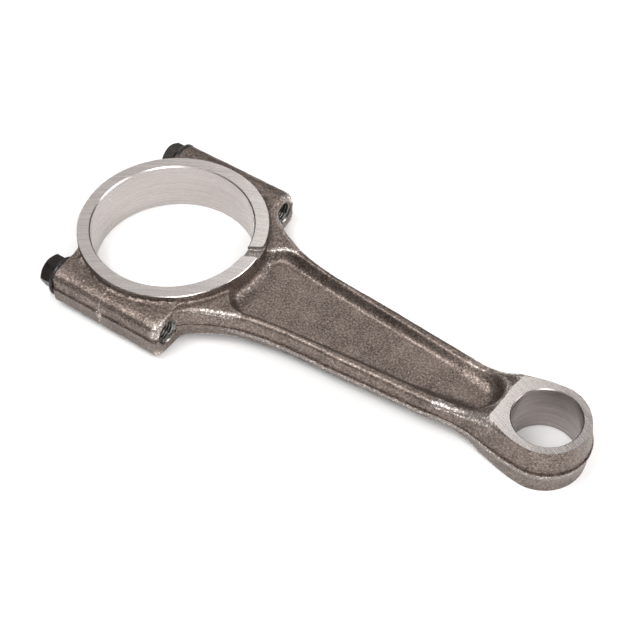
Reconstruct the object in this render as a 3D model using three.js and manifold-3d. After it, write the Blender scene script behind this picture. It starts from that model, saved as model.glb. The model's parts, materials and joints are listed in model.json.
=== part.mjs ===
// Connecting rod of a small engine: forged rod body, fracture-split bearing cap and two cap bolts.
// Millimetres, +Z up. The rod lies flat on its ground faces with the big end towards -X.
// Every piece is drawn from the centre of the crankpin bore, on the lower ground face; the group
// then moves them so that the origin lies under the middle of the whole assembly.

import * as THREE from 'three';
import { mergeVertices } from 'three/addons/utils/BufferGeometryUtils.js';
import Module from 'manifold-3d';

const wasm = await Module();
wasm.setup();

// Driving dimensions
const CENTRE_DISTANCE = 144;
const WIDTH = 18.5;
const CRANK_BORE_R = 27.5;
const PIN_BORE_R = 11;
const BORE_CHAMFER = 0.6;
const PARTING_X = -1.2;
const FIT_GAP = 0.3;
const FLASH_Z = WIDTH / 2;

// Big end
const RING_R = 32.2;
const RING_SHIFT = 0.4;
const SHOULDER_HALF_WIDTH = 38.4;
const SHOULDER_INNER_Y = 22;
const SHOULDER_HALF_THICKNESS = 6.5;
const SHOULDER_CORNER_R = 4.2;
const SEAT_X = -20.6;
const EXIT_X = 22.4;
const EXIT_ROUND = 2.4;
const OIL_SLOT = { x: 29.4, y: 5.1, width: 4.5, depth: 1.5, length: 12, turn: 31 };

// Beam, an I-section with a pocket forged into each side
const RIB_HALF_HEIGHT = 4.7;
const RIB_ROUND = 1.6;
const WEB_HALF_THICKNESS = 1.4;
const POCKET_END_X = 120.2;
const POCKET_END_R = 8.2;
const BEAM_EDGE = [
  [10, 30], [20, 29.4], [24, 27.2], [28, 24.5], [34, 21.3], [39, 19], [46, 17.3], [56, 15.8],
  [74, 14.7], [90, 13.7], [108, 12.5], [119, 11.6], [127, 12.5], [135, 13.8],
];
const POCKET_EDGE = [
  [26, 7], [31, 10.6], [34, 13.8], [37, 15.2], [41, 15.3], [52, 13.8], [74, 11.6], [100, 9.6],
];

// Small end
const EYE_R = 14.8;
const EYE_DRAFT = 0.9;
const FACE_START_X = 129.2;
const RAMP = [
  [104, RIB_HALF_HEIGHT - 1.1], [113, RIB_HALF_HEIGHT - 0.7], [120, 5.6], [125, 7.2],
  [FACE_START_X, FLASH_Z],
];

// Cap bolts, M8 x 1 with a flanged hexagon head
const BOLT_Y = 32.5;
const BOLT_R = 3.9;
const BOLT_WAIST_R = 3.4;
const BOLT_LENGTH = 36;
const BOLT_THREAD = 19;
const BOLT_HOLE_R = BOLT_R + FIT_GAP;
const FLANGE_R = 7;
const FLANGE_RIM = 1.2;
const FLANGE_HEIGHT = 2.4;
const HEX_FLATS = 10;
const HEAD_HEIGHT = 6.7;

// Facets round a full turn
const RING_FACETS = 72;
const EYE_FACETS = 48;
const BOLT_FACETS = 24;

const Y_AXIS_TO_X = [[0, 1, 0], [1, 0, 0], [0, 0, -1]];
const SECTION_TO_X = [[0, 1, 0], [0, 0, 1], [1, 0, 0]];
const SECTION_TO_Y = [[1, 0, 0], [0, 0, 1], [0, -1, 0]];

// Turns a geometry so that its own x, y and z directions become the three given ones.
function turned(geometry, [x, y, z]) {
  const basis = new THREE.Matrix4().makeBasis(
    new THREE.Vector3(...x), new THREE.Vector3(...y), new THREE.Vector3(...z),
  );
  return geometry.applyMatrix4(basis);
}

// Closed geometry to a solid that can be joined and cut.
function solid(geometry) {
  const bare = geometry.clone();
  bare.deleteAttribute('normal');
  bare.deleteAttribute('uv');
  const merged = mergeVertices(bare, 1e-4);
  const corners = merged.index.array;
  const triangles = [];
  for (let i = 0; i < corners.length; i += 3) {
    const [a, b, c] = [corners[i], corners[i + 1], corners[i + 2]];
    if (a !== b && b !== c && c !== a) triangles.push(a, b, c);
  }
  return new wasm.Manifold(new wasm.Mesh({
    numProp: 3,
    vertProperties: new Float32Array(merged.attributes.position.array),
    triVerts: new Uint32Array(triangles),
  }));
}

// Solid back to a geometry with flat faces.
function geometryOf(shape) {
  const mesh = shape.getMesh();
  const geometry = new THREE.BufferGeometry();
  geometry.setAttribute('position', new THREE.BufferAttribute(mesh.vertProperties.slice(), 3));
  geometry.setIndex(new THREE.BufferAttribute(mesh.triVerts.slice(), 1));
  geometry.computeVertexNormals();
  return geometry;
}

// Revolved solid: the profile is [radius, height] pairs that start and end on the axis.
function revolved(profile, facets) {
  const points = profile.map(([radius, height]) => new THREE.Vector2(radius, height));
  return new THREE.LatheGeometry(points, facets);
}

// Cutter for a bore through the full width, opened by a 45-degree chamfer at both faces.
function boreCutter(radius, centreX, facets) {
  const over = 1;
  const mouth = radius + BORE_CHAMFER + over;
  const profile = [
    [0, -over], [mouth, -over], [radius, BORE_CHAMFER],
    [radius, WIDTH - BORE_CHAMFER], [mouth, WIDTH + over], [0, WIDTH + over],
  ];
  return solid(revolved(profile, facets).rotateX(Math.PI / 2).translate(centreX, 0, 0));
}

// Ring round the crankpin bore, as wide as the rod and ground on both faces.
function crankRing() {
  const ring = new THREE.CylinderGeometry(RING_R, RING_R, WIDTH, RING_FACETS);
  return solid(ring.rotateX(Math.PI / 2).translate(RING_SHIFT, 0, FLASH_Z));
}

// Bolt shoulder on one side: a rounded section run from the bolt seat to the thread exit.
function boltShoulder(side) {
  const height = SHOULDER_HALF_THICKNESS;
  const flatY = SHOULDER_HALF_WIDTH - SHOULDER_CORNER_R;
  const section = new THREE.Shape();
  section.moveTo(SHOULDER_INNER_Y, -height);
  section.lineTo(flatY, -height);
  section.absellipse(flatY, 0, SHOULDER_CORNER_R, height, -Math.PI / 2, Math.PI / 2);
  section.lineTo(SHOULDER_INNER_Y, height);
  const run = new THREE.ExtrudeGeometry(section, {
    depth: EXIT_X - SEAT_X - EXIT_ROUND,
    bevelThickness: EXIT_ROUND,
    bevelSize: EXIT_ROUND,
    bevelOffset: -EXIT_ROUND,
    bevelSegments: 3,
    curveSegments: 14,
  });
  turned(run, SECTION_TO_X).translate(SEAT_X, 0, FLASH_Z);
  if (side < 0) run.rotateX(Math.PI).translate(0, 0, WIDTH);
  return solid(run).intersect(beyondSeat());
}

// Everything on the rod side of the bolt seats.
function beyondSeat() {
  const span = 200;
  return solid(new THREE.BoxGeometry(span, span, span).translate(SEAT_X + span / 2, 0, 0));
}

// Outline that is the same on both sides of the rod: a smooth edge, then a round end centred on
// the rod's axis. The round end starts at the angle given and stops on the axis.
function mirroredOutline(edge, edgeSteps, centreX, radius, startAngle, endSteps) {
  const smooth = new THREE.SplineCurve(edge.map(([x, y]) => new THREE.Vector2(x, y)));
  const upper = smooth.getSpacedPoints(edgeSteps);
  for (let i = 0; i < endSteps; i += 1) {
    const angle = startAngle * (1 - i / endSteps);
    const offset = new THREE.Vector2(radius * Math.cos(angle), radius * Math.sin(angle));
    upper.push(offset.add(new THREE.Vector2(centreX, 0)));
  }
  const lower = upper.map((point) => new THREE.Vector2(point.x, -point.y)).reverse();
  const tip = new THREE.Vector2(centreX + radius, 0);
  return new THREE.Shape([...upper, tip, ...lower]);
}

// Outline of the beam and the eye, seen from above.
function rodOutline() {
  const meet = THREE.MathUtils.degToRad(96);
  return mirroredOutline(BEAM_EDGE, 30, CENTRE_DISTANCE, EYE_R, meet, 12);
}

// Full-depth beam with rounded rib edges, before the pockets are forged in.
function beamBlank() {
  const blank = new THREE.ExtrudeGeometry(rodOutline(), {
    depth: 2 * (RIB_HALF_HEIGHT - RIB_ROUND),
    bevelThickness: RIB_ROUND,
    bevelSize: RIB_ROUND,
    bevelOffset: -RIB_ROUND,
    bevelSegments: 3,
  });
  return solid(blank.translate(0, 0, FLASH_Z - RIB_HALF_HEIGHT + RIB_ROUND));
}

// Eye with drafted sides, and the ramp that lifts the ribs to its ground faces.
function eyeBlank() {
  const land = 0.5;
  const drafted = new THREE.ExtrudeGeometry(rodOutline(), {
    depth: land,
    bevelThickness: (WIDTH - land) / 2,
    bevelSize: EYE_DRAFT,
    bevelOffset: -EYE_DRAFT,
    bevelSegments: 1,
  });
  drafted.translate(0, 0, FLASH_Z - land / 2);

  const end = CENTRE_DISTANCE + EYE_R + 1;
  const profile = new THREE.Shape();
  profile.moveTo(RAMP[0][0], -RAMP[0][1]);
  RAMP.slice(1).forEach(([x, height]) => profile.lineTo(x, -height));
  profile.lineTo(end, -FLASH_Z);
  profile.lineTo(end, FLASH_Z);
  [...RAMP].reverse().forEach(([x, height]) => profile.lineTo(x, height));
  const span = 60;
  const side = new THREE.ExtrudeGeometry(profile, { depth: span, bevelEnabled: false });
  turned(side, SECTION_TO_Y).translate(0, span / 2, FLASH_Z);
  return solid(drafted).intersect(solid(side));
}

// Pocket cutter for the upper side: a round floor edge, and a round end next to the eye.
function pocketCutter() {
  const round = RIB_HALF_HEIGHT - WEB_HALF_THICKNESS;
  const meet = THREE.MathUtils.degToRad(88);
  const outline = mirroredOutline(POCKET_EDGE, 20, POCKET_END_X, POCKET_END_R, meet, 8);
  const cutter = new THREE.ExtrudeGeometry(outline, {
    depth: FLASH_Z,
    bevelThickness: round,
    bevelSize: round,
    bevelOffset: -round,
    bevelSegments: 3,
  });
  return cutter.translate(0, 0, FLASH_Z + WEB_HALF_THICKNESS + round);
}

// Hole for one cap bolt, with a countersink where the thread leaves the rod.
function boltHoleCutter(side) {
  const over = 4;
  const sink = 0.6;
  const profile = [
    [0, SEAT_X - over], [BOLT_HOLE_R, SEAT_X - over], [BOLT_HOLE_R, EXIT_X - sink],
    [BOLT_HOLE_R + sink + over, EXIT_X + over], [0, EXIT_X + over],
  ];
  const cutter = turned(revolved(profile, BOLT_FACETS), Y_AXIS_TO_X);
  return solid(cutter.translate(0, side * BOLT_Y, FLASH_Z));
}

// Shallow oil slot milled across the upper face of the ring, towards the beam.
function oilSlotCutter() {
  const { x, y, width, depth, length, turn } = OIL_SLOT;
  const cutter = new THREE.BoxGeometry(length, width, 2 * depth);
  cutter.rotateZ(THREE.MathUtils.degToRad(turn)).translate(x, y, WIDTH);
  return solid(cutter);
}

// The forging as it is before the cap is cracked off: one piece, bored and drilled.
function wholeForging() {
  const pocket = pocketCutter();
  const underPocket = pocket.clone().rotateX(Math.PI).translate(0, 0, WIDTH);
  let shape = beamBlank().add(eyeBlank());
  shape = shape.subtract(solid(pocket)).subtract(solid(underPocket));
  shape = shape.add(crankRing()).add(boltShoulder(1)).add(boltShoulder(-1));
  shape = shape.subtract(boreCutter(CRANK_BORE_R, 0, RING_FACETS));
  shape = shape.subtract(boreCutter(PIN_BORE_R, CENTRE_DISTANCE, EYE_FACETS));
  shape = shape.subtract(boltHoleCutter(1)).subtract(boltHoleCutter(-1));
  return shape.subtract(oilSlotCutter());
}

// The part of the forging on one side of the parting plane: +1 the rod, -1 the cap.
function forgingSide(side) {
  const span = 400;
  const edge = PARTING_X + side * FIT_GAP / 2;
  const keep = new THREE.BoxGeometry(span, span, span).translate(edge + side * span / 2, 0, 0);
  return geometryOf(wholeForging().intersect(solid(keep)));
}

// Cap bolt, drawn along +X from the underside of its flange: waisted shank and rolled thread.
function capBoltGeometry() {
  const neck = BOLT_LENGTH - BOLT_THREAD;
  const stem = turned(revolved([
    [0, -FLANGE_HEIGHT - 1], [HEX_FLATS / 2 - 0.4, -FLANGE_HEIGHT - 1],
    [HEX_FLATS / 2 + 0.2, -FLANGE_HEIGHT], [FLANGE_R, -FLANGE_RIM], [FLANGE_R, 0],
    [BOLT_R, 0], [BOLT_R, 6], [BOLT_WAIST_R, 7], [BOLT_WAIST_R, neck - 1], [BOLT_R, neck],
    [BOLT_R, BOLT_LENGTH - 1.2], [BOLT_R - 0.9, BOLT_LENGTH], [0, BOLT_LENGTH],
  ], BOLT_FACETS), Y_AXIS_TO_X);

  const cornerR = HEX_FLATS / Math.sqrt(3);
  const height = HEAD_HEIGHT - FLANGE_HEIGHT;
  const hexagon = new THREE.CylinderGeometry(cornerR, cornerR, height, 6);
  hexagon.rotateZ(Math.PI / 2).translate(-FLANGE_HEIGHT - height / 2, 0, 0);
  const crown = turned(revolved([
    [0, -HEAD_HEIGHT], [HEX_FLATS / 2 - 0.3, -HEAD_HEIGHT], [cornerR + 0.1, -HEAD_HEIGHT + 0.9],
    [cornerR + 0.1, 0], [0, 0],
  ], BOLT_FACETS), Y_AXIS_TO_X);
  const head = solid(hexagon).intersect(solid(crown));
  return geometryOf(head.add(solid(stem)));
}

function forgedSteel() {
  return new THREE.MeshStandardMaterial({ color: 0x7a6f68, roughness: 0.62, metalness: 0.8 });
}

function crackedCapSteel() {
  return new THREE.MeshStandardMaterial({ color: 0x827770, roughness: 0.6, metalness: 0.8 });
}

function blackOxideSteel() {
  return new THREE.MeshStandardMaterial({ color: 0x1c1b1b, roughness: 0.42, metalness: 0.7 });
}

function named(name, geometry, material) {
  const mesh = new THREE.Mesh(geometry, material);
  mesh.name = name;
  return mesh;
}

const rod = new THREE.Group();
rod.add(named('rod_body', forgingSide(1), forgedSteel()));
rod.add(named('bearing_cap', forgingSide(-1), crackedCapSteel()));
for (const [name, side] of [['cap_bolt_left', 1], ['cap_bolt_right', -1]]) {
  const bolt = named(name, capBoltGeometry(), blackOxideSteel());
  bolt.position.set(SEAT_X - FIT_GAP, side * BOLT_Y, FLASH_Z);
  rod.add(bolt);
}

// The origin lies midway between the crown of the cap and the tip of the eye.
const crownX = RING_SHIFT - RING_R;
const tipX = CENTRE_DISTANCE + EYE_R;
rod.position.x = -(crownX + tipX) / 2;

export default rod;
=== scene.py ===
"""Connecting rod, finished as the maker would: forged, ground, bored, cracked apart and bolted up."""
import json
import math

import bpy
import numpy as np
from mathutils import Matrix, Vector

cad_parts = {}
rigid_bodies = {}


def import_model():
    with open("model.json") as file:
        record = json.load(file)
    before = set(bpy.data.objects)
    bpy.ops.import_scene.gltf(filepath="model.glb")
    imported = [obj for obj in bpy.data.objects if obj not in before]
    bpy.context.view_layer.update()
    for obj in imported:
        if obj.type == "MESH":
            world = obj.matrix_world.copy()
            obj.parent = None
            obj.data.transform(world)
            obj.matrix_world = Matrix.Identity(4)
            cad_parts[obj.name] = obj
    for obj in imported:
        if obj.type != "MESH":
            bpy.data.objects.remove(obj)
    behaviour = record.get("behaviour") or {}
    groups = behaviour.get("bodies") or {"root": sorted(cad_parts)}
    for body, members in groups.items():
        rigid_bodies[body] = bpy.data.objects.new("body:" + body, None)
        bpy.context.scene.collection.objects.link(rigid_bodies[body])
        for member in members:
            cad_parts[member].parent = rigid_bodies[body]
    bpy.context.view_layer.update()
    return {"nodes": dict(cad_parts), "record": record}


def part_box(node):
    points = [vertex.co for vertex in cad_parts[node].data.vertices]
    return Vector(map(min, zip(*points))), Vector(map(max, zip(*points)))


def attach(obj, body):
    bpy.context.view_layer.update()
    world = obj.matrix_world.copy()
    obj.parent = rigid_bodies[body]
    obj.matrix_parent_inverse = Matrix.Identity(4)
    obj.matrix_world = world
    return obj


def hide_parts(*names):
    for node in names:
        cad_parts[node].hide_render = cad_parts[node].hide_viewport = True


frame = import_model()

# --- Camera, floor and light -------------------------------------------------------------------
# The rod lies flat on a white table, seen from above and in front, a little from its small end.
# Softboxes hang behind, over, before and right of it, in a room that is dark at eye level.
MM = 0.001
openings = {o["name"]: np.array(o["box_m"]) for o in frame["record"]["physics"]["openings"]}
crank_centre = openings["crankpin_bore"].mean(axis=0) * (1, 1, 0)
pin_centre = openings["piston_pin_bore"].mean(axis=0) * (1, 1, 0)

VIEW_AZIMUTH = math.radians(35.315)
VIEW_ELEVATION = math.radians(49.331)
VIEW_ROLL = math.radians(0.76)
VIEW_DISTANCE = 587.5 * MM
AIM_FROM_CRANK = (55.6, 6.2, 0)
aim = Vector(crank_centre) + Vector(AIM_FROM_CRANK) * MM

towards_camera = Vector((
    math.sin(VIEW_AZIMUTH) * math.cos(VIEW_ELEVATION),
    -math.cos(VIEW_AZIMUTH) * math.cos(VIEW_ELEVATION),
    math.sin(VIEW_ELEVATION),
))
camera_right = Vector((0, 0, 1)).cross(towards_camera).normalized()
camera_up = towards_camera.cross(camera_right)
turn = Matrix((camera_right, camera_up, towards_camera)).transposed()
roll = Matrix.Rotation(-VIEW_ROLL, 3, "Z")
camera_data = bpy.data.cameras.new("camera")
camera_data.lens = 99.5
camera_data.sensor_width = 36
camera_data.clip_start = 0.05
camera = bpy.data.objects.new("camera", camera_data)
camera.matrix_world = (
    Matrix.Translation(aim + towards_camera * VIEW_DISTANCE) @ (turn @ roll).to_4x4()
)
bpy.context.scene.collection.objects.link(camera)
bpy.context.scene.camera = camera
bpy.context.scene.view_settings.view_transform = "Standard"


def add(tree, kind, feeds=None, **settings):
    """Adds a shader node. feeds gives its inputs by name or number, each a value or an output
    socket to link from, and settings gives its other properties."""
    made = tree.nodes.new(kind if kind.startswith("NodeGroup") else "ShaderNode" + kind)
    for key, value in settings.items():
        setattr(made, key, value)
    for key, value in (feeds or {}).items():
        if isinstance(value, bpy.types.NodeSocket):
            tree.links.new(value, made.inputs[key])
        else:
            made.inputs[key].default_value = value
    return made


def white_room():
    """World light by the sine of the height: dim up to 0.15, or 9 degrees above the horizon,
    easing to full brightness at 0.80, or 53 degrees, and so on to overhead."""
    world = bpy.data.worlds.new("studio")
    bpy.context.scene.world = world
    world.use_nodes = True
    tree = world.node_tree
    direction = add(tree, "TexCoord").outputs["Generated"]
    height = add(tree, "SeparateXYZ", {0: direction}).outputs["Z"]
    ramp = add(tree, "ValToRGB", {0: height})
    ramp.color_ramp.interpolation = "EASE"
    low, high = ramp.color_ramp.elements
    low.position, low.color = 0.15, (0.05, 0.047, 0.045, 1)
    high.position, high.color = 0.80, (0.46, 0.445, 0.435, 1)
    tree.links.new(ramp.outputs["Color"], tree.nodes["Background"].inputs["Color"])


def softbox(name, place, width, height, brightness):
    """Rectangular area light at a place in metres, facing the rod. Its power is pi times its
    area times its brightness, which is on the same scale as the room's."""
    data = bpy.data.lights.new(name, "AREA")
    data.shape = "RECTANGLE"
    data.size = width
    data.size_y = height
    data.energy = math.pi * width * height * brightness
    lamp = bpy.data.objects.new(name, data)
    facing = (aim - Vector(place)).to_track_quat("-Z", "Y")
    lamp.matrix_world = Matrix.Translation(place) @ facing.to_matrix().to_4x4()
    bpy.context.scene.collection.objects.link(lamp)


def blank_material(name):
    """New material that has only its shader, with its node tree."""
    material = bpy.data.materials.new(name)
    material.use_nodes = True
    return material, material.node_tree


def white_table():
    """Flat table 4 m square, in matt white laminate, 0.04 mm below the rod."""
    half, below = 2.0, -0.00004
    mesh = bpy.data.meshes.new("table")
    corners = [(-half, -half, below), (half, -half, below), (half, half, below), (-half, half, below)]
    mesh.from_pydata(corners, [], [(0, 1, 2, 3)])
    table = bpy.data.objects.new("table", mesh)
    bpy.context.scene.collection.objects.link(table)
    material, tree = blank_material("table_white")
    shader = tree.nodes["Principled BSDF"]
    shader.inputs["Roughness"].default_value = 0.7
    shader.inputs["Base Color"].default_value = (0.94, 0.94, 0.94, 1)
    mesh.materials.append(material)


white_room()
white_table()
softbox("softbox_back", (-0.36, 0.38, 0.53), 0.40, 0.30, 0.67)
softbox("softbox_strip", (-0.24, 0.36, 0.50), 0.08, 0.26, 1.6)
softbox("softbox_spot", (-0.13, 0.34, 0.485), 0.08, 0.24, 1.9)
softbox("softbox_top", (-0.24, -0.34, 0.85), 0.46, 0.46, 7.6)
softbox("softbox_front", (0.55, -0.60, 0.85), 0.60, 0.60, 6.4)
softbox("softbox_right", (0.75, 0.45, 0.60), 0.60, 0.60, 5.2)

# --- Forging -----------------------------------------------------------------------------------
# Rod and cap start as one blank of C70 steel, hammered between two dies that meet at mid-height.
# The lower die sits 0.3 mm out of line with the upper one, which leaves a ledge round the blank.
# Everything here is in millimetres from the centre of the crankpin bore, on the lower face.
CENTRE_DISTANCE = (pin_centre - crank_centre)[0] / MM
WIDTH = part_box("rod_body")[1].z / MM
FLASH = WIDTH / 2
RING = 32.2
RING_SHIFT = 0.4
SEAT = -20.6
EXIT = 22.4
SHOULDER_Y = 27.0
SHOULDER_HALF_WIDTH = 11.4
SHOULDER_HEIGHT = 6.5
DIE_SHIFT = np.array((0.10, -0.28, 0))


def new_group(name, inputs, outputs):
    """Empty node group whose sockets are numbers: its tree, what it is given and what it makes."""
    tree = bpy.data.node_groups.new(name, "ShaderNodeTree")
    for way, sockets in (("INPUT", inputs), ("OUTPUT", outputs)):
        for socket in sockets:
            tree.interface.new_socket(socket, in_out=way, socket_type="NodeSocketFloat")
    return tree, add(tree, "NodeGroupInput").outputs, add(tree, "NodeGroupOutput").inputs


def remapped(tree, value, low, high, start=0.0, stop=1.0):
    """Number from low to high as the value goes from start to stop."""
    feeds = {0: value, 1: start, 2: stop, 3: low, 4: high}
    return add(tree, "MapRange", feeds).outputs[0]


def worked_out(tree, operation, first, second, **settings):
    """Result of one operation on two numbers."""
    return add(tree, "Math", {0: first, 1: second}, operation=operation, **settings).outputs[0]


def blended(tree, factor, low, high):
    """Colour that goes from low to high with the factor."""
    return add(tree, "Mix", {0: factor, 6: low, 7: high}, data_type="RGBA").outputs[2]


def use_group(tree, group, feeds):
    """Outputs of a node group placed in a material with its own values."""
    return add(tree, "Group", feeds, node_tree=group).outputs


def surface_grain():
    """Node group: the skin that hot steel takes from a die and from shot blasting.
    Height is fine pits plus coarser pock marks, Speckle the bright bruised spots and Mottle the
    change of tone from grain to grain and over wide clouds, each from 0 to 1. Size scales them
    all."""
    tree, given, made = new_group("surface_grain", ("Size",), ("Height", "Speckle", "Mottle"))
    place = add(tree, "TexCoord").outputs["Object"]
    scaled = add(tree, "VectorMath", {0: place, 3: given["Size"]}, operation="SCALE").outputs[0]
    fine = add(tree, "TexNoise", {"Vector": scaled, "Scale": 1700, "Detail": 3, "Roughness": 0.6})
    pocks = add(tree, "TexVoronoi", {"Vector": scaled, "Scale": 900, "Randomness": 1})
    pits = remapped(tree, pocks.outputs["Distance"], 0, 0.6, 0.05, 0.5)
    spots = add(tree, "TexNoise", {"Vector": scaled, "Scale": 1500, "Detail": 2, "Roughness": 0.7})
    cloud = add(tree, "TexNoise", {"Vector": scaled, "Scale": 130, "Detail": 3, "Roughness": 0.6})
    tones = add(tree, "Mix", {0: 0.3, 2: spots.outputs[0], 3: cloud.outputs[0]}).outputs[0]
    tree.links.new(worked_out(tree, "ADD", fine.outputs[0], pits), made["Height"])
    tree.links.new(remapped(tree, spots.outputs[0], 0, 1, 0.54, 0.72), made["Speckle"])
    tree.links.new(remapped(tree, tones, 0, 1, 0.37, 0.63), made["Mottle"])
    return tree


GRAIN = surface_grain()


def metal(material, metallic, colour, roughness, height, depth):
    """Makes a material a metal, and feeds its shader a colour, a roughness and bumps whose depth
    is in millimetres."""
    tree = material.node_tree
    shader = tree.nodes["Principled BSDF"]
    shader.inputs["Metallic"].default_value = metallic
    bump = add(tree, "Bump", {"Height": height, "Distance": depth * MM, "Strength": 1.0})
    tree.links.new(colour, shader.inputs["Base Color"])
    tree.links.new(roughness, shader.inputs["Roughness"])
    tree.links.new(bump.outputs[0], shader.inputs["Normal"])
    return material


def forged_skin():
    """Grey-brown blasted skin. The mesh's own attribute of wear and painted light makes it brighter
    and smoother above 0, where the bruised spots run together, as edge wear and as a painted
    highlight on crests and edges, and almost black below 0, as painted shade."""
    material, tree = blank_material("forged_skin")
    grain = use_group(tree, GRAIN, {"Size": 1.0})
    worn = add(tree, "Attribute", attribute_name="worn").outputs["Fac"]
    # Bright spots where the skin bulges: bruised metal, and painted highlight glints on crests and
    # edges.
    bruises_and_glints = remapped(tree, worn, 0.10, 2.6)
    bruises_and_glints = worked_out(tree, "MULTIPLY", bruises_and_glints, grain["Speckle"], use_clamp=True)
    tone = blended(tree, grain["Mottle"], (0.078, 0.059, 0.050, 1), (0.260, 0.212, 0.185, 1))
    # Lighter crests and edges: edge wear, and a painted highlight.
    tone = blended(tree, remapped(tree, worn, 0, 0.55), tone, (0.46, 0.405, 0.37, 1))
    # Painted shade: below 0 the skin turns almost black.
    tone = blended(tree, remapped(tree, worn, 0.9, 0, -1, 0), tone, (0.05, 0.037, 0.03, 1))
    colour = blended(tree, bruises_and_glints, tone, (0.94, 0.88, 0.83, 1))
    rough = remapped(tree, bruises_and_glints, 0.42, 0.26)
    return metal(material, 0.85, colour, rough, grain["Height"], 0.07)


FORGED_SKIN = forged_skin()


def through(x, knots):
    """Smooth curve through knots (x, y): a cubic between each two, with the knots' mean slopes."""
    kx, ky = np.array(knots, float).T
    slope = np.gradient(ky, kx)
    i = np.clip(np.searchsorted(kx, x) - 1, 0, len(kx) - 2)
    span = kx[i + 1] - kx[i]
    t = np.clip((x - kx[i]) / span, 0, 1)
    rise = ky[i] * (1 + 2 * t) * (1 - t) ** 2 + ky[i + 1] * t**2 * (3 - 2 * t)
    return rise + span * t * (1 - t) * (slope[i] * (1 - t) - slope[i + 1] * t)


def eased(value, start, stop):
    """0 before start, 1 after stop, and 3t^2 - 2t^3 between them."""
    t = np.clip((value - start) / (stop - start), 0, 1)
    return t * t * (3 - 2 * t)


def rounded_ramp(value, start, stop, round_start, round_stop):
    """0 before start, 1 after stop and straight between, with a parabola over the given distance
    each side of both bends."""
    def bend(past, radius):
        return np.where(np.abs(past) < radius, (past + radius) ** 2 / (4 * radius),
                        np.maximum(past, 0))
    return (bend(value - start, round_start) - bend(value - stop, round_stop)) / (stop - start)


def flash_band(down):
    """1 over the 2 mm below the flash line, easing to 0 at its lower edge, and 0 above the line.
    Down is the depth below the line."""
    return (1 - eased(down, 1.7, 2.3)) * (down >= 0)


def flash_land(down):
    """How far the lower half stands out where the flash was trimmed off: 0.34 mm over its band."""
    return 0.34 * flash_band(down)


def unevenness(points, seed, longest, shortest):
    """Sum of 36 plane sine waves in random directions, wavelengths spread evenly by ratio from
    longest to shortest and heights in proportion to wavelength, scaled to a spread of 1."""
    waves = 36
    rng = np.random.default_rng(seed)
    lengths = np.geomspace(longest, shortest, waves)
    ways = rng.normal(size=(waves, 3))
    ways *= (2 * np.pi / lengths / np.linalg.norm(ways, axis=1))[:, None]
    phases = rng.uniform(0, 2 * np.pi, waves)
    heights = lengths / np.sqrt((lengths**2).sum() / 2)
    total = np.zeros(points.shape[:-1])
    for way, phase, height in zip(ways, phases, heights):
        total += height * np.sin(points @ way + phase)
    return total


def forged_unevenness(points):
    """Depth of the hammer scale and die wear at each point, in millimetres."""
    return 0.035 * unevenness(points, 7, 11, 3.5) + 0.014 * unevenness(points, 11, 2.6, 1.1)


def solid(name, grid, material):
    """Closed mesh object from a grid of points (rows, columns, 3) in millimetres, whose columns
    run round. Points that coincide are joined, so a row drawn in to one point closes the skin.
    Faces left without area are dropped, and the skin is turned to face outwards."""
    rows, columns, _ = grid.shape
    points, number = np.unique(np.round(grid.reshape(-1, 3), 5), axis=0, return_inverse=True)
    row, column = np.meshgrid(np.arange(rows - 1), np.arange(columns), indexing="ij")
    across = (column + 1) % columns
    a, b = row * columns + column, row * columns + across
    c, d = b + columns, a + columns
    triangles = np.stack([a, b, c, a, c, d], -1).reshape(-1, 3)
    triangles = number.reshape(-1)[triangles]
    a, b, c = triangles.T
    triangles = triangles[(a != b) & (b != c) & (c != a)]
    corner = points[triangles]
    volume = (corner[:, 0] * np.cross(corner[:, 1], corner[:, 2])).sum()
    mesh = bpy.data.meshes.new(name)
    mesh.from_pydata(points * MM + crank_centre, [], triangles[:, :: 1 if volume > 0 else -1])
    mesh.materials.append(material)
    made = bpy.data.objects.new(name, mesh)
    bpy.context.scene.collection.objects.link(made)
    return made


def combined(piece, other, operation):
    """Joins or cuts piece with another closed solid, and puts the result in piece's own mesh.
    The cut faces keep the finish of the tool that made them."""
    step = piece.modifiers.new("combine", "BOOLEAN")
    step.solver = "MANIFOLD"
    step.operation = operation
    step.material_mode = "TRANSFER"
    step.object = other
    depsgraph = bpy.context.evaluated_depsgraph_get()
    result = bpy.data.meshes.new_from_object(piece.evaluated_get(depsgraph))
    piece.modifiers.remove(step)
    piece.data = result
    bpy.data.objects.remove(other)


def ring_blank():
    """Ring round the crankpin: radius 32.2 plus draft towards the flash line, a flash ridge at
    mid-height, and shallow waves of 7 and 12 to the turn on the cap's side. Level goes from -1
    on the lower face to 1 on the upper one, and a little past both for grinding."""
    past, draft, ridge, ridge_spread = 1.05, 0.28, 0.1, 0.05
    turn_angle = np.linspace(0, 2 * np.pi, 300, endpoint=False)
    level = np.concatenate([[-past], np.linspace(-past, past, 27), [past]])
    radius = RING + draft * (1 - np.abs(level)) + ridge * np.exp(-((level / ridge_spread) ** 2))
    radius += flash_land(-level * FLASH)
    radius[[0, -1]] = 0
    angle, level = np.meshgrid(turn_angle, level)
    radius = np.broadcast_to(radius[:, None], angle.shape).copy()
    crown = eased(-np.cos(angle), -0.2, 0.6)
    flats = 0.11 * np.sin(7 * angle + 0.6) + 0.08 * np.sin(12 * angle + 2.1)
    grid = np.stack(
        [radius * np.cos(angle) + RING_SHIFT, radius * np.sin(angle), FLASH * (1 + level)], -1
    )
    uneven = forged_unevenness(grid) + crown * flats
    uneven[[0, -1]] = 0
    grid[..., 0] += uneven * np.cos(angle)
    grid[..., 1] += uneven * np.sin(angle)
    grid += np.where(level < 0, 1 - np.abs(level), 0)[..., None] * DIE_SHIFT
    return solid("ring_blank", grid, FORGED_SKIN)


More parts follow.
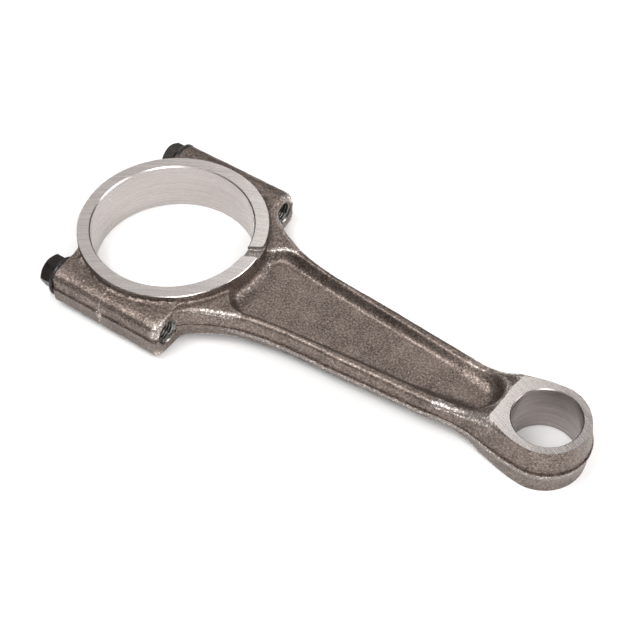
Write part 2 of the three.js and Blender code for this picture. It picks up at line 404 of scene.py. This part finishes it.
def ring_fillet(x, y, radius):
    """Height of a round fillet against the wall of the ring: radius minus the circle's drop."""
    away = np.hypot(x - RING_SHIFT, y) - RING
    short = radius - np.clip(away, 0, radius)
    return radius - np.sqrt(np.maximum(radius**2 - short**2, 0))


def signed_power(wave, exponent):
    """Size of a wave raised to an exponent, with its sign kept, as a superellipse needs."""
    return np.sign(wave) * np.abs(wave) ** exponent


def shoulder_blank(side):
    """Bolt shoulder: a section in y and z, half a superellipse of power 3.8 above the flash line
    and one of power 7 below it, carried along x from the bolt seat to a rounded thread end. The
    lower half is 0.6 mm deeper than the upper at the seat, and 0.9 mm more at the thread end."""
    lower_height = 7.1
    quarter = np.linspace(0, 1, 32)
    half_turn = np.concatenate([quarter**1.2, 2 - quarter[-2::-1] ** 1.2]) * np.pi / 2
    around = np.concatenate([half_turn, np.pi + half_turn])
    upper = np.arange(len(around)) < len(half_turn)
    exponent = np.where(upper, 2 / 3.8, 2 / 7)
    wide = signed_power(np.cos(around), exponent)
    high = signed_power(np.sin(around), exponent)
    nose = np.where(upper, 1.9, 1.2)

    run = np.linspace(0, 1, 76)[:, None]
    bend = np.linspace(0, np.pi / 2, 12)[1:, None]
    x = np.concatenate([
        SEAT + run * (EXIT - nose - SEAT), EXIT - nose * (1 - np.sin(bend)),
    ])
    drawn_in = np.concatenate([0 * run * nose, nose * (1 - np.cos(bend))])
    y = SHOULDER_Y + (SHOULDER_HALF_WIDTH - drawn_in) * wide
    deeper = 0.9 * eased(x, SEAT, EXIT)
    z = (np.where(upper, SHOULDER_HEIGHT, lower_height + deeper) - drawn_in) * high
    z += np.where(upper, 1, -1) * ring_fillet(x, y, 1.0) * (np.abs(high) > 0.5)
    grid = np.stack([x, side * y, FLASH + z], -1)
    uneven = forged_unevenness(grid) + np.where(upper, 0, flash_land(-z))
    grid[..., 1] += side * uneven * wide
    grid[..., 2] += uneven * high
    grid += np.where(upper, 0, 1)[:, None] * DIE_SHIFT
    grid[0, :, 0] = SEAT

    middle_y = 29.0
    shrink = np.array((0.75, 0.5, 0.25, 0))[:, None, None]
    first_middle = np.array((SEAT, side * middle_y, FLASH))
    last_middle = np.array((EXIT, side * middle_y, FLASH))
    first = first_middle + (grid[0] - first_middle) * shrink[::-1]
    last = last_middle + (grid[-1] - last_middle) * shrink
    return solid(f"shoulder_blank_{side}", np.concatenate([first, grid, last]), FORGED_SKIN)


# Outline of the beam and the start of the eye, height of its ribs above the flash line, and half
# width of the pocket, each by distance along the rod.
BEAM_EDGE = [
    (8, 29), (14, 29.6), (19, 30.8), (21.6, 30.9), (22.7, 29.3), (23.9, 27.7), (25.4, 26.2),
    (27.6, 24.6), (31, 22.7), (35, 20.8), (39, 19.1), (46, 17.3), (56, 15.8), (65, 15.15),
    (74, 14.75), (90, 13.7), (108, 12.5), (118, 11.6), (123, 11.8), (128, 12.7), (133, 13.6),
    (138, 14.3), (142, 14.6),
]
CREST = [
    (8, 5.9), (17, 5.9), (23, 6.15), (28, 6.0), (36, 5.4), (45, 5.2), (60, 5.05), (75, 4.8),
    (90, 4.55), (104, 4.25), (112, 4.3), (117, 4.8), (122, 6.2), (126, 7.9), (129.2, 9.25),
    (132, 9.6), (137, 9.95), (144, 10.3), (162, 10.3),
]
POCKET = [
    (25, 4), (29, 7.9), (31, 10.3), (32.6, 12.3), (34.2, 14.0), (36, 15.2), (38, 15.7),
    (40.5, 15.6), (44.5, 14.9), (54, 13.6), (64, 12.6), (74, 11.7), (84, 10.9), (94, 10.1),
    (106, 9.2), (120.3, 8.3),
]
POCKET_END, POCKET_END_RADIUS = POCKET[-1]
WEB = 1.35
EYE = 14.75


def beam_height(x, y):
    """Height of the upper die surface above the flash line: the crest, less the pocket, which
    falls to the web over an S-shaped wall, plus the fillet against the ring. The wall leans
    more towards the pocket's round end, like the side of a bowl."""
    crest = through(x, CREST)
    half = through(x, POCKET)
    step = 0.8
    slope = (through(x + step, POCKET) - through(x - step, POCKET)) / (2 * step)
    inside = (half - np.abs(y)) / np.sqrt(1 + slope**2)
    round_end = POCKET_END_RADIUS - np.hypot(x - POCKET_END, y)
    inside = np.where(x > POCKET_END, round_end, inside)
    bowl = eased(x, 98, 122)
    sunk = rounded_ramp(inside, 0.1, 2.2 + 1.6 * bowl, 0.5, 1.15 + 1.2 * bowl)
    height = crest - (crest - WEB) * sunk
    return height + ring_fillet(x, y, 1.0 + 2.3 * sunk)


def beam_blank():
    """Beam and eye as loops across the rod. Each half loop climbs a drafted wall from the
    outline, rounds the rib and crosses to the rod's middle line, which for the eye is its
    centre, so the loops fan round the eye and close on its tip. The near half is the far one's
    mirror, and the lower die is the upper one's, moved and with the flash land added. The die
    wear goes along the normals, which point up on the web."""
    end_x, end_y = BEAM_EDGE[-1]
    x = np.concatenate([
        np.linspace(8, 18, 8)[:-1], np.linspace(18, 40, 52)[:-1], np.linspace(40, 110, 66)[:-1],
        np.linspace(110, 131, 54)[:-1], np.linspace(131, end_x, 16),
    ])
    y = through(x, BEAM_EDGE)
    fan = np.linspace(math.atan2(end_y, end_x - CENTRE_DISTANCE), 0, 37)[1:]
    edge = np.stack([
        np.concatenate([x, CENTRE_DISTANCE + EYE * np.cos(fan)]),
        np.concatenate([y, EYE * np.sin(fan)]),
    ], -1)
    along = edge[:, 0]
    blend = eased(along, 124, end_x)
    blend[len(x):] = 1
    middle = np.stack([along * (1 - blend) + CENTRE_DISTANCE * blend, 0 * blend], -1)
    length = np.linalg.norm(middle - edge, axis=1)
    inward = (middle - edge) / length[:, None]

    draft = 0.1 * through(along, CREST)
    round_off = 1.75 + 1.25 * eased(along, 116, 128) - 2.1 * eased(along, 129, 146)
    up = np.linspace(0, 1, 11) ** 1.6
    arc = np.linspace(0, np.pi / 2, 7)[1:]
    across = np.linspace(0, 1, 36)[1:] ** 1.25
    shoulder = (draft + round_off)[:, None]
    distance = np.concatenate([
        draft[:, None] * up**1.3,
        draft[:, None] + round_off[:, None] * (1 - np.cos(arc)),
        shoulder + (length[:, None] - shoulder) * across,
    ], 1)
    plan = edge[:, None] + inward[:, None] * distance[..., None]
    top = beam_height(plan[..., 0], plan[..., 1])
    climbing = len(up) + len(arc)
    rib = top[:, climbing - 1:climbing]
    climb = np.concatenate([
        (rib - round_off[:, None]) * up, rib - round_off[:, None] * (1 - np.sin(arc)),
    ], 1)
    height = np.concatenate([climb, top[:, climbing:]], 1)

    far = np.concatenate([plan, height[..., None]], -1)
    near = far * (1, -1, 1)
    upper = np.concatenate([near, far[:, -2::-1]], 1)
    normal = np.cross(np.gradient(upper, axis=0), np.gradient(upper, axis=1))
    normal /= np.maximum(np.linalg.norm(normal, axis=-1), 1e-9)[..., None]
    normal[-1] = 0
    on_web = len(x) // 2, upper.shape[1] // 2
    normal *= np.sign(normal[on_web][2])
    lower = upper[:, ::-1] * (1, 1, -1)
    normals = np.concatenate([normal, normal[:, ::-1] * (1, 1, -1)], 1)
    outward = np.concatenate([-inward, 0 * inward[:, :1]], 1)[:, None]
    land = flash_land(-lower[..., 2:]) * outward * np.sign(lower[..., 1:2]) ** np.array((0, 1, 0))
    ledge = eased(along, 30, 46) * (1 - 0.8 * eased(along, 106, 113) * (1 - eased(along, 126, 136)))
    land *= ledge[:, None, None]
    grid = np.concatenate([upper, lower + land + DIE_SHIFT], 1) + (0, 0, FLASH)
    seam = np.isclose(grid[..., 2], FLASH)
    grid += normals * np.where(seam, 0, forged_unevenness(grid))[..., None]
    tip = grid[-1, :, :2]
    grid[-1, :, :2] = (tip[::-1] + tip) / 2
    root = np.repeat(grid[:1].mean(axis=1, keepdims=True), grid.shape[1], axis=1)
    return solid("beam_blank", np.concatenate([root, grid]), FORGED_SKIN)


rod = beam_blank()
for side in (1, -1):
    combined(rod, shoulder_blank(side), "UNION")
ring = ring_blank()

# --- Ground faces and bores --------------------------------------------------------------------
# Both ends of the forging are ground flat on one large wheel, so its marks are long arcs.
# The big end is bored and honed, the small end turned, and their edges broken with a chamfer.
CRANK_BORE = 27.5
PIN_BORE = 11.0
WHEEL_CENTRE = np.array((80, -140))


def tool_marks():
    """Node group: fine parallel cuts. Across is the distance over the cuts and Along the distance
    along them, Width how wide a cut is and Length how long, all in metres. Height and Streak run
    from 0 to 1."""
    tree, given, made = new_group(
        "tool_marks", ("Across", "Along", "Width", "Length"), ("Height", "Streak")
    )
    across = worked_out(tree, "DIVIDE", given["Across"], given["Width"])
    along = worked_out(tree, "DIVIDE", given["Along"], given["Length"])
    place = add(tree, "CombineXYZ", {0: across, 1: along}).outputs[0]
    cuts = add(tree, "TexNoise", {"Vector": place, "Scale": 1, "Detail": 2, "Roughness": 0.7})
    bands = add(tree, "TexNoise", {"Vector": place, "Scale": 0.2, "Detail": 4, "Roughness": 0.8})
    tree.links.new(cuts.outputs[0], made["Height"])
    tree.links.new(remapped(tree, bands.outputs[0], 0, 1, 0.36, 0.64), made["Streak"])
    return tree


TOOL_MARKS = tool_marks()


def polar(tree, centre):
    """Distance from a vertical axis through centre, arc length round it and height, in metres."""
    place = add(tree, "TexCoord").outputs["Object"]
    mid = (*(crank_centre[:2] + np.array(centre) * MM), 0)
    offset = add(tree, "VectorMath", {0: place, 1: mid}, operation="SUBTRACT").outputs[0]
    x, y, height = add(tree, "SeparateXYZ", {0: offset}).outputs
    flat = add(tree, "CombineXYZ", {0: x, 1: y}).outputs[0]
    radius = add(tree, "VectorMath", {0: flat}, operation="LENGTH").outputs["Value"]
    arc = worked_out(tree, "MULTIPLY", worked_out(tree, "ARCTAN2", y, x), radius)
    return radius, arc, height


def cut_steel(name, colours, roughness, centre, by_height, width, length, depth):
    """Bright cut steel with tool marks round a vertical axis: spaced by radius on a flat face,
    or by height on the wall of a bore. Their width, length and depth are in millimetres."""
    material, tree = blank_material(name)
    radius, arc, height = polar(tree, centre)
    marks = use_group(tree, TOOL_MARKS, {
        "Across": height if by_height else radius, "Along": arc,
        "Width": width * MM, "Length": length * MM,
    })
    grain = use_group(tree, GRAIN, {"Size": 0.8})
    colour = blended(tree, marks["Streak"], *colours)
    colour = blended(tree, remapped(tree, grain["Mottle"], 0, 0.4), colour, colours[0])
    rough = remapped(tree, marks["Streak"], *roughness)
    return metal(material, 1.0, colour, rough, marks["Height"], depth)


def revolved(name, centre, direction, stations, radii, material, around):
    """Closed solid of revolution about X or Z. Each station is a distance from centre along the
    axis, with a radius that is one number, or one for each angle round."""
    angle = np.linspace(0, 2 * np.pi, around, endpoint=False)
    radii = [np.broadcast_to(r, around) for r in radii]
    stations = np.concatenate([stations[:1], stations, stations[-1:]])
    radius = np.stack([0 * angle, *radii, 0 * angle])
    out = np.stack([radius * np.cos(angle), radius * np.sin(angle)], -1)
    far = np.broadcast_to(np.asarray(stations, float)[:, None, None], (*radius.shape, 1))
    grid = np.concatenate([far, out] if direction == "X" else [out, far], -1)
    return solid(name, grid + centre, material)


def bore_cutter(centre_x, radius, chamfer, material):
    """Cutter for a bore right through, with a 45 degree chamfer at each face."""
    over = 3.0
    stations = [-over, 0, chamfer, WIDTH - chamfer, WIDTH, WIDTH + over]
    wide = radius + chamfer
    radii = [wide + over, wide, radius, radius, wide, wide + over]
    return revolved("bore_cutter", (centre_x, 0, 0), "Z", stations, radii, material, 240)


def with_ends(grid):
    """Grid with its first and last row each drawn in to its middle, so that it closes."""
    middle = grid.mean(axis=1, keepdims=True).repeat(grid.shape[1], axis=1)
    return np.concatenate([middle[:1], grid, middle[-1:]])


def plate(name, low, high, material):
    """Closed box between two corners, made of a ring of four points at each end."""
    corners = np.array([(0, 0), (1, 0), (1, 1), (0, 1)])
    low, high = np.array(low, float), np.array(high, float)
    ends = np.repeat([[low[2]], [high[2]]], 4, axis=1)
    loop = low[:2] + corners * (high - low)[:2]
    rows = np.concatenate([np.stack([loop, loop]), ends[..., None]], -1)
    return solid(name, with_ends(rows), material)


GROUND_FACE = cut_steel(
    "ground_face", colours=((0.40, 0.37, 0.355, 1), (0.56, 0.525, 0.505, 1)), roughness=(0.20, 0.30),
    centre=WHEEL_CENTRE, by_height=False, width=0.24, length=12, depth=0.02,
)
HONED_BORE = cut_steel(
    "honed_bore", colours=((0.42, 0.385, 0.37, 1), (0.52, 0.485, 0.47, 1)), roughness=(0.24, 0.32),
    centre=(0, 0), by_height=True, width=0.16, length=20, depth=0.006,
)
TURNED_BORE = cut_steel(
    "turned_bore", colours=((0.27, 0.24, 0.23, 1), (0.42, 0.38, 0.365, 1)), roughness=(0.24, 0.38),
    centre=(CENTRE_DISTANCE, 0), by_height=True, width=0.22, length=20, depth=0.01,
)
clear = 200
combined(rod, plate("grind", (-clear, -clear, 0), (clear, clear, WIDTH), GROUND_FACE), "INTERSECT")
broken_edge, turned_ring = 0.8, RING - 0.2
ring_envelope = revolved(
    "ring_envelope", (RING_SHIFT, 0, 0), "Z", [0, broken_edge, WIDTH - broken_edge, WIDTH],
    [turned_ring, turned_ring + broken_edge, turned_ring + broken_edge, turned_ring],
    GROUND_FACE, 240,
)
combined(ring, ring_envelope, "INTERSECT")
combined(rod, ring, "UNION")
combined(rod, bore_cutter(0, CRANK_BORE, 0.4, HONED_BORE), "DIFFERENCE")
combined(rod, bore_cutter(CENTRE_DISTANCE, PIN_BORE, 0.35, TURNED_BORE), "DIFFERENCE")

# --- Bolt holes, oil slot and locating notch ---------------------------------------------------
# Each shoulder is drilled through for its bolt, and tapped M8 x 1 on the rod's side of the parting.
# A shallow slot milled across the upper face of the ring lets oil out of the crankpin bearing.
PARTING = -1.2
BOLT_Y = 32.5
THREAD_PITCH = 1.0
THREAD_DEPTH = 0.58
TAP_RADIUS = 4.08
CLEARANCE_RADIUS = 4.4
SLOT_PLACE = np.array((29.4, 5.1, WIDTH))
SLOT_ANGLE = math.radians(31)


def thread_drop(x, angle):
    """How deep the thread is cut: a wave along x that moves one pitch in a turn, clipped to flat
    crests and roots."""
    phase = (x / THREAD_PITCH - angle / (2 * np.pi)) % 1
    wave = 1 - np.abs(2 * phase - 1)
    return THREAD_DEPTH * np.clip(1.45 * wave - 0.2, 0, 1)


def tapped_hole_cutter(side, material):
    """Cutter for one bolt hole: plain through the cap, threaded through the rod, with a small
    countersink at the parting and at the far end."""
    around = 48
    angle = np.linspace(0, 2 * np.pi, around, endpoint=False)
    threaded = np.arange(PARTING - 0.6, EXIT + 0.8, THREAD_PITCH / 8)
    far_countersink = TAP_RADIUS + np.minimum(threaded - EXIT + 0.2, 0.3)
    parting_countersink = TAP_RADIUS + PARTING + 0.4 - threaded
    radii = TAP_RADIUS - thread_drop(threaded[:, None], angle)
    radii = np.maximum(radii, np.maximum(far_countersink, parting_countersink)[:, None])
    stations = np.concatenate([[SEAT - 2, PARTING - 0.7], threaded])
    radii = np.concatenate([np.full((2, around), CLEARANCE_RADIUS), radii])
    centre = (0, side * BOLT_Y, FLASH)
    return revolved("hole_cutter", centre, "X", stations, radii, material, around)


def tapped_steel():
    """Inside of the drilled and tapped holes: dark steel, mottled lighter in places."""
    material, tree = blank_material("tapped_steel")
    grain = use_group(tree, GRAIN, {"Size": 1.2})
    colour = blended(tree, grain["Mottle"], (0.09, 0.083, 0.078, 1), (0.40, 0.38, 0.36, 1))
    rough = remapped(tree, grain["Speckle"], 0.28, 0.42)
    return metal(material, 1.0, colour, rough, grain["Height"], 0.01)


def milled_steel():
    """Rough floor of the oil slot and the notch: bright, torn by a small cutter."""
    material, tree = blank_material("milled_steel")
    grain = use_group(tree, GRAIN, {"Size": 1.4})
    colour = blended(tree, grain["Speckle"], (0.24, 0.21, 0.195, 1), (0.72, 0.68, 0.65, 1))
    rough = remapped(tree, grain["Mottle"], 0.35, 0.55)
    return metal(material, 1.0, colour, rough, grain["Height"], 0.05)


def slot_cutter(place, heading, length, width, depth, material):
    """Cutter like a loaf laid upside down: along its length its section is a superellipse of
    power 9 with an uneven floor, and near the far end it flares over a quarter of a circle,
    which rounds the corners it leaves. One side starts to flare before the other."""
    along = np.linspace(-length / 2, length / 2, 70)[:, None]
    around = np.linspace(0, 2 * np.pi, 64, endpoint=False)
    exponent = 0.22
    wide = width / 2 * signed_power(np.cos(around), exponent)
    high = depth * signed_power(np.sin(around), exponent)
    flare = 1.5
    past = np.clip(along - np.where(wide > 0, 2.2, 0.65), 0, flare)
    flared = wide * (1 + 2 * (flare - np.sqrt(flare**2 - past**2)) / width)
    s, w, h = np.broadcast_arrays(along, flared, high)
    grid = np.stack([
        s * np.cos(heading) - w * np.sin(heading), s * np.sin(heading) + w * np.cos(heading), h,
    ], -1)
    rough = 0.05 * unevenness(grid, 5, 2.5, 0.7)
    grid[..., 2] += rough
    grid[..., 0] += rough
    return solid("slot_cutter", place + with_ends(grid), material)


TAPPED_STEEL = tapped_steel()
MILLED_STEEL = milled_steel()
for side in (1, -1):
    combined(rod, tapped_hole_cutter(side, TAPPED_STEEL), "DIFFERENCE")
combined(rod, slot_cutter(SLOT_PLACE, SLOT_ANGLE, 12, 4.5, 1.5, MILLED_STEEL), "DIFFERENCE")
NOTCH_PLACE = np.array((CENTRE_DISTANCE + EYE + 0.2, -0.8, FLASH))
combined(rod, slot_cutter(NOTCH_PLACE, 0, 2.2, 1.9, 0.7, MILLED_STEEL), "DIFFERENCE")

# --- Rod body and bearing cap ------------------------------------------------------------------
# The finished big end is notched by laser and cracked in two. The grainy faces fit each other
# in one place only, so they locate the cap. On the far shoulder the crack gapes at the skin.


def fracture_steel():
    """Freshly torn steel: coarse, grey and glittering."""
    material, tree = blank_material("fracture_steel")
    grain = use_group(tree, GRAIN, {"Size": 1.1})
    colour = blended(tree, grain["Speckle"], (0.34, 0.33, 0.32, 1), (0.78, 0.77, 0.76, 1))
    rough = remapped(tree, grain["Mottle"], 0.35, 0.6)
    return metal(material, 1.0, colour, rough, grain["Height"], 0.12)


def beyond_crack(way, material):
    """Everything on the cap's side of the crack. Its face is a plane roughened by waves 12 to
    0.8 mm long, moved towards the rod or the cap by half the gap, which widens near the skin of
    the far shoulder. Depth is how far a point lies below the skin of the shoulder or the ring."""
    across = np.concatenate([
        np.linspace(26, 33, 22)[:-1], np.linspace(33, 40, 24)[:-1],
    ])
    y = np.concatenate([[-60], -across[::-1], across, [60]])
    z = np.concatenate([[-6], np.linspace(-0.5, WIDTH + 0.5, 54), [WIDTH + 6]])
    y, z = np.meshgrid(y, z, indexing="ij")
    level, outer = np.abs(z - FLASH), SHOULDER_Y + SHOULDER_HALF_WIDTH
    in_shoulder = np.minimum(SHOULDER_HEIGHT - level, outer - np.abs(y))
    in_ring = np.minimum(FLASH - level, RING + RING_SHIFT - np.abs(y))
    depth = np.maximum(in_shoulder, in_ring)
    half_gap = 0.008 + 0.26 * (1 - eased(depth, 0.2, 1.6)) * eased(y, 32.3, 33.2)
    face = np.stack([0 * y, y, z], -1)
    rough = 0.16 * unevenness(face, 3, 12, 1.5) + 0.03 * unevenness(face, 4, 1.4, 0.8)
    face[..., 0] = PARTING + rough + way * half_gap
    back = face[:, [-1, 0]] * (0, 1, 1) + (-90, 0, 0)
    return solid("beyond_crack", with_ends(np.concatenate([face, back], 1)), material)


def values(items, name, kind, width=1):
    """One property of all the items of a mesh as an array, in rows where it has a width."""
    found = np.empty(len(items) * width, kind)
    items.foreach_get(name, found)
    return found.reshape(-1, width) if width > 1 else found


def sharp_edges(mesh):
    """Shades a mesh smooth between sharp edges, which are those where it turns by more than 34
    degrees or changes its finish, and tells which they are."""
    mesh.shade_smooth()
    mesh.set_sharp_from_angle(angle=math.radians(34))
    finish = values(mesh.polygons, "material_index", np.int32)
    finish = np.repeat(finish, values(mesh.polygons, "loop_total", np.int32))
    edges = values(mesh.loops, "edge_index", np.int32)
    lowest, highest = np.full(len(mesh.edges), len(mesh.materials)), np.full(len(mesh.edges), -1)
    np.minimum.at(lowest, edges, finish)
    np.maximum.at(highest, edges, finish)
    marks = mesh.attributes["sharp_edge"].data
    sharp = values(marks, "value", bool) | (lowest != highest)
    marks.foreach_set("value", sharp)
    return sharp


def wear_and_sheen_by_shape(place, normal, ends, sharp):
    """Wear of each vertex, which also paints a highlight on convex crests and edges, from 0 to 1
    as the skin bulges by 0.035 to 0.125 per millimetre. The bulge is how far a vertex stands out
    from the mean of its neighbours along its normal, over the square of its edges' mean length.
    It is 0 on sharp edges, and then smoothed 5 times."""
    count = len(place)
    one, two = ends.T
    valence = np.bincount(ends.reshape(-1), minlength=count)

    def neighbour_mean(value):
        total = np.bincount(one, value[two], count) + np.bincount(two, value[one], count)
        return total / np.maximum(valence, 1)

    length = np.linalg.norm(place[one] - place[two], axis=1)
    size = (np.bincount(one, length, count) + np.bincount(two, length, count)) / valence
    middle = np.stack([neighbour_mean(place[:, k]) for k in range(3)], -1)
    bulge = ((place - middle) * normal).sum(axis=1) / size**2 * MM
    bulge[ends[sharp].reshape(-1)] = 0
    for _ in range(5):
        bulge = (bulge + neighbour_mean(bulge)) / 2
    return eased(bulge, 0.035, 0.125)


def wear_and_light_by_place(worn, place, normal, on_sharp):
    """Wear and painted light of a forging by place as well. The trimmed flash land is bright, as
    sheared metal and as a painted highlight of its ledge, and so is the burred edge of the crack on
    the near shoulder. A painted highlight lightens the fillet at the foot of the ring in the pocket,
    and painted shade, which counts below 0, darkens the ring's wall in the pocket and in a band
    from 5.9 to 8.5 mm either side of the flash line."""
    x, y, z = ((place - crank_centre) / MM).T
    level = np.abs(z - FLASH)
    # Flash land: lighter as trimmed metal, and as a painted highlight of its ledge catching the
    # light.
    band = flash_band(FLASH - z) * (z < FLASH - 0.05) * (np.abs(normal[:, 2]) < 0.5)
    worn = np.maximum(worn, 0.45 * band * np.where(x > EXIT, eased(x, 32, 46), 1))
    worn[on_sharp & (np.abs(x - PARTING) < 1) & (y < -33)] = 1.1
    away = np.hypot(x - RING_SHIFT, y) - RING
    in_pocket = (np.abs(y) < 13) & (x > 25) & (level < FLASH - 0.9)
    # Painted shade: the ring's wall inside the pocket is darkened.
    worn[in_pocket & (away < 0.9)] = -0.3
    # Painted shade: a near-black band round the ring's wall, 5.9 to 8.5 mm from the flash line, where
    # it rises over the shoulders.
    worn[(x < 25) & (away < 0.4) & (np.abs(level - 7.2) < 1.3)] = -1.1
    # Painted highlight: a lighter band on the fillet about 2.3 mm from the ring's wall in the pocket.
    return np.maximum(worn, 0.32 * in_pocket * (1 - np.minimum(np.abs(away - 2.3), 1)))


def finish_piece(piece, node, forged):
    """Gives a piece its sharp edges and its attribute of wear and painted light, and puts it in its
    node's stead.
    """
    mesh = piece.data
    sharp = sharp_edges(mesh)
    place = values(mesh.vertices, "co", float, 3)
    normal = values(mesh.vertices, "normal", float, 3)
    ends = values(mesh.edges, "vertices", np.int32, 2)
    worn = wear_and_sheen_by_shape(place, normal, ends, sharp)
    if forged:
        on_sharp = np.bincount(ends[sharp].reshape(-1), minlength=len(place)) > 0
        worn = wear_and_light_by_place(worn, place, normal, on_sharp)
    mesh.attributes.new("worn", "FLOAT", "POINT").data.foreach_set(
        "value", worn.astype(np.float32)
    )
    piece.name = node + "_finished"
    mesh.name = piece.name
    body = frame["nodes"][node].parent.name.removeprefix("body:")
    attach(piece, body)
    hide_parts(node)


FRACTURE_STEEL = fracture_steel()
cap = bpy.data.objects.new("cap", rod.data.copy())
bpy.context.scene.collection.objects.link(cap)
combined(rod, beyond_crack(1, FRACTURE_STEEL), "DIFFERENCE")
combined(cap, beyond_crack(-1, FRACTURE_STEEL), "INTERSECT")
finish_piece(rod, "rod_body", True)
finish_piece(cap, "bearing_cap", True)

# --- Cap bolts ---------------------------------------------------------------------------------
# Two M8 x 1 flange bolts of blackened high-tensile steel, turned and rolled from one bar each.
# They pass through the cap with clearance and screw into the rod, and their waists stretch.
HEAD_TOP = SEAT - 6.7
RIM = SEAT - 1.2
FLANGE_RADIUS = 7.0
ACROSS_FLATS = 10.0
CROWN_RADIUS = 4.4
BOLT_RADIUS = 3.96
WAIST_RADIUS = 3.4
BOLT_END = 15.4
THREAD_START = BOLT_END - 19.5


def black_oxide():
    """Thin black oxide, oily, rubbed to grey steel on its corners, where the grey is also a painted
    highlight.
    """
    material, tree = blank_material("black_oxide")
    grain = use_group(tree, GRAIN, {"Size": 1.6})
    worn = add(tree, "Attribute", attribute_name="worn").outputs["Fac"]
    # Grey on convex corners: rubbed steel, and a painted highlight.
    rubbed_and_sheen = worked_out(tree, "MULTIPLY", worn, grain["Speckle"])
    tone = blended(tree, grain["Mottle"], (0.006, 0.005, 0.0048, 1), (0.038, 0.032, 0.030, 1))
    colour = blended(tree, rubbed_and_sheen, tone, (0.16, 0.155, 0.15, 1))
    rough = remapped(tree, grain["Mottle"], 0.30, 0.46)
    return metal(material, 0.6, colour, rough, grain["Height"], 0.015)


BLACK_OXIDE = black_oxide()


def cap_bolt(side, hexagon_turn):
    """Bolt as one radius for each station and angle: hexagon with a dished top and chamfered
    corners, flange cone and rim, fillet, pilot, waist, then a rolled thread with a pointed end."""
    around = 144
    angle = np.linspace(0, 2 * np.pi, around, endpoint=False)
    sector = (angle - hexagon_turn) % (np.pi / 3) - np.pi / 6
    hexagon = ACROSS_FLATS / 2 / np.cos(sector)
    stations, radii = [], []

    def ring_at(station, radius):
        stations.append(station)
        radii.append(np.broadcast_to(radius, around))

    ring_at(HEAD_TOP + 0.35, 2.9)
    ring_at(HEAD_TOP + 0.1, 3.2)
    ring_at(HEAD_TOP, 3.5)
    ring_at(HEAD_TOP, CROWN_RADIUS)
    for down in np.linspace(0, 1.2, 12)[1:]:
        ring_at(HEAD_TOP + down, np.minimum(hexagon, CROWN_RADIUS + down * (2.0 - 0.4 * down)))
    cone_top, cone_height, cone_radius = RIM - 1.5, 1.35, 5.1
    for station in np.linspace(HEAD_TOP + 1.6, cone_top, 4):
        ring_at(station, hexagon)
    for part in np.linspace(0, 1, 12)[1:]:
        cone = cone_radius + (FLANGE_RADIUS - 0.35 - cone_radius) * part
        ring_at(cone_top + cone_height * part, np.maximum(hexagon * (1 - 0.02 * part), cone))
    rim_round = 0.4
    for bend in np.linspace(0, np.pi / 2, 5)[1:]:
        ring_at(RIM + 0.3 - rim_round * math.cos(bend),
                FLANGE_RADIUS - rim_round + rim_round * math.sin(bend))
    ring_at(SEAT - 0.5, FLANGE_RADIUS)
    ring_at(SEAT - 0.15, FLANGE_RADIUS - 0.15)
    ring_at(SEAT - 0.02, FLANGE_RADIUS - 0.5)
    ring_at(SEAT - 0.02, BOLT_RADIUS + 0.5)
    ring_at(SEAT + 0.2, BOLT_RADIUS + 0.05)
    ring_at(SEAT + 1.0, BOLT_RADIUS)
    ring_at(SEAT + 5.0, BOLT_RADIUS)
    ring_at(SEAT + 6.0, WAIST_RADIUS)
    ring_at(THREAD_START - 0.5, WAIST_RADIUS)
    for station in np.arange(THREAD_START, BOLT_END, THREAD_PITCH / 10):
        thread = BOLT_RADIUS - thread_drop(station, angle) - 0.02
        point = 3.1 + (BOLT_END - station) * 1.1
        ring_at(station, np.minimum(thread, min(point, WAIST_RADIUS + station - THREAD_START)))
    ring_at(BOLT_END, 3.05)
    centre = (0, side * BOLT_Y, FLASH)
    return revolved("bolt", centre, "X", np.array(stations), radii, BLACK_OXIDE, around)


for side, node, hexagon_turn in ((1, "cap_bolt_left", 0.63), (-1, "cap_bolt_right", 0.87)):
    finish_piece(cap_bolt(side, hexagon_turn), node, False)
